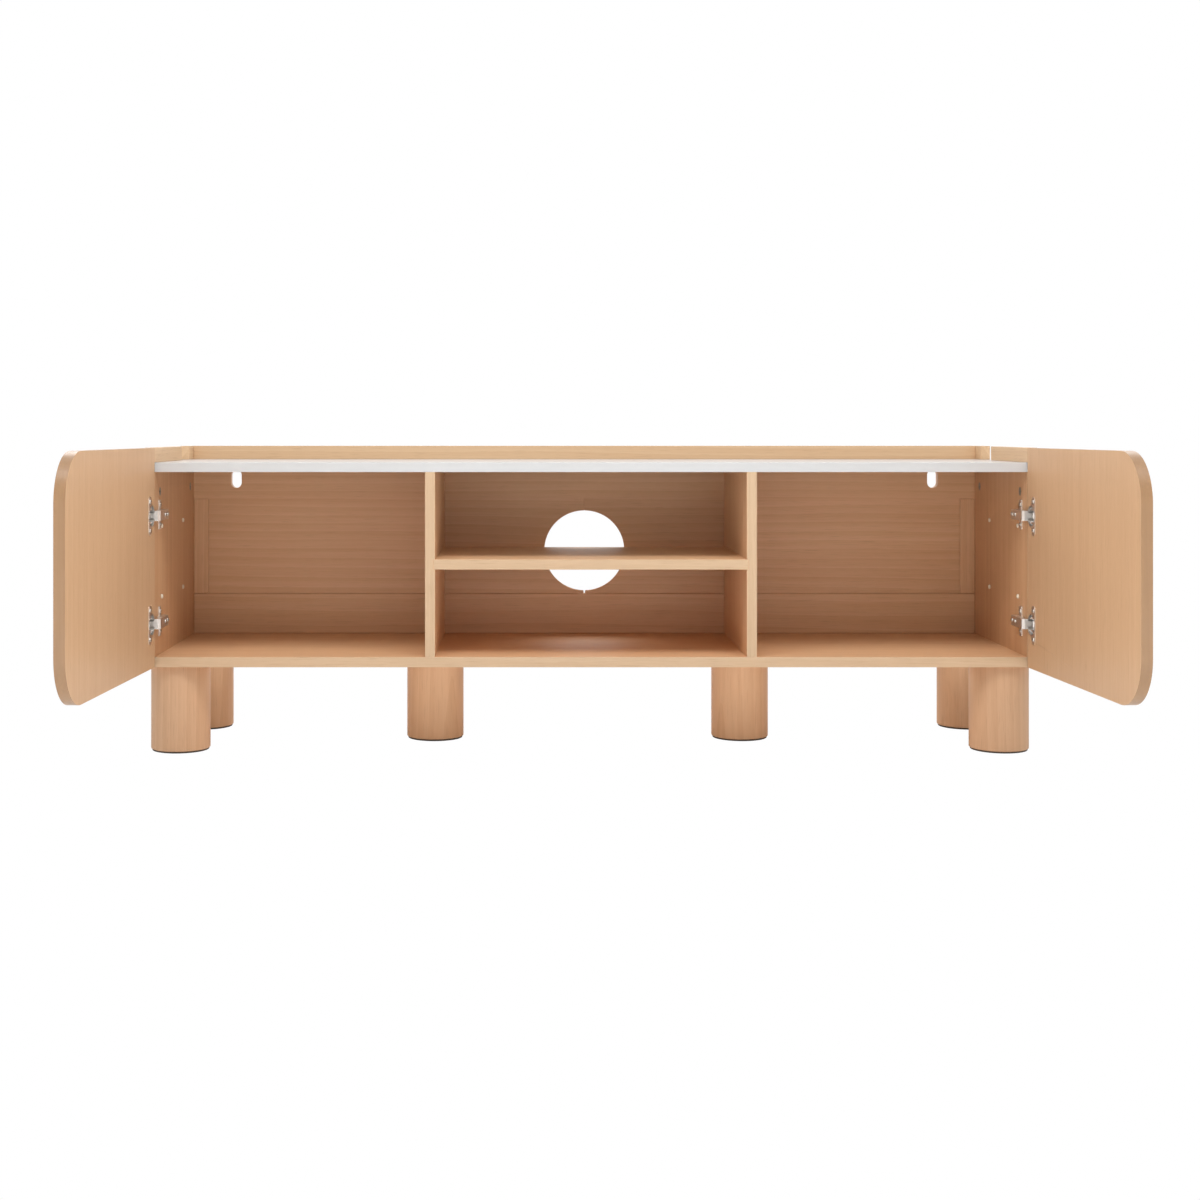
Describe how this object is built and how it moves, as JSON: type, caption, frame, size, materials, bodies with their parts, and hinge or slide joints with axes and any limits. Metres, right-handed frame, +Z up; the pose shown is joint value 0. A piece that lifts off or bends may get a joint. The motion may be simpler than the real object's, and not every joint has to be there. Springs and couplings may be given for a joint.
{
  "type": "media cabinet",
  "caption": "Low wood-veneer media cabinet on round legs, with a white top board in a low gallery, an open shelved centre and side bays behind hinged doors with rounded free corners.",
  "frame": {"origin": "on the floor, at mid-width, midway between the front edges of the open doors and the back of the cabinet", "axes": "+X to the right along the width as seen from the front, +Y to the back, +Z up"},
  "size_m": [1.549, 0.86, 0.516],
  "materials": {
    "wood_veneer": "satin",
    "white_board": "satin",
    "leg_pad": "matte",
    "nickelled_steel": "polished",
    "zinc_alloy": "satin",
    "cream_plastic": "matte",
    "beech_dowel": "matte"
  },
  "bodies": {
    "cabinet": {"bottom_panel": "wood_veneer", "left_side_panel": "wood_veneer", "right_side_panel": "wood_veneer", "left_divider": "wood_veneer", "right_divider": "wood_veneer", "centre_shelf": "wood_veneer", "gallery_left": "wood_veneer", "gallery_right": "wood_veneer", "gallery_back": "wood_veneer", "gallery_return_left": "wood_veneer", "gallery_return_right": "wood_veneer", "back_top_rail": "wood_veneer", "back_bottom_rail": "wood_veneer", "back_stile_left": "wood_veneer", "back_stile_right": "wood_veneer", "back_panel_left": "wood_veneer", "back_panel_right": "wood_veneer", "leg_front_left": "wood_veneer", "leg_front_right": "wood_veneer", "leg_middle_left": "wood_veneer", "leg_middle_right": "wood_veneer", "leg_rear_left": "wood_veneer", "leg_rear_right": "wood_veneer", "top_board": "white_board", "pad_front_left": "leg_pad", "pad_front_right": "leg_pad", "pad_middle_left": "leg_pad", "pad_middle_right": "leg_pad", "pad_rear_left": "leg_pad", "pad_rear_right": "leg_pad", "hinge_arm_left_low": "nickelled_steel", "hinge_arm_left_high": "nickelled_steel", "hinge_arm_right_low": "nickelled_steel", "hinge_arm_right_high": "nickelled_steel", "hinge_plate_left_low": "nickelled_steel", "hinge_plate_left_high": "nickelled_steel", "hinge_plate_right_low": "nickelled_steel", "hinge_plate_right_high": "nickelled_steel", "hinge_plate_screws": "nickelled_steel", "cam_locks": "zinc_alloy", "cam_bolts": "zinc_alloy", "shelf_pin_sockets": "cream_plastic", "dowels": "beech_dowel", "leg_bolts": "zinc_alloy"},
    "left_door": {"left_door": "wood_veneer", "hinge_cup_left_low": "nickelled_steel", "hinge_cup_left_high": "nickelled_steel", "hinge_pins_left": "nickelled_steel", "cup_screws_left": "nickelled_steel"},
    "right_door": {"right_door": "wood_veneer", "hinge_cup_right_low": "nickelled_steel", "hinge_cup_right_high": "nickelled_steel", "hinge_pins_right": "nickelled_steel", "cup_screws_right": "nickelled_steel"}
  },
  "joints": [
    {"name": "left_door_hinge", "type": "hinge", "parent": "cabinet", "child": "left_door", "pos_m": [-0.741, 0.04775, 0.3315], "axis": [0, 0, 1], "range_deg": [-7, 93]},
    {"name": "right_door_hinge", "type": "hinge", "parent": "cabinet", "child": "right_door", "pos_m": [0.741, 0.04775, 0.3315], "axis": [0, 0, -1], "range_deg": [-7, 93]}
  ]
}
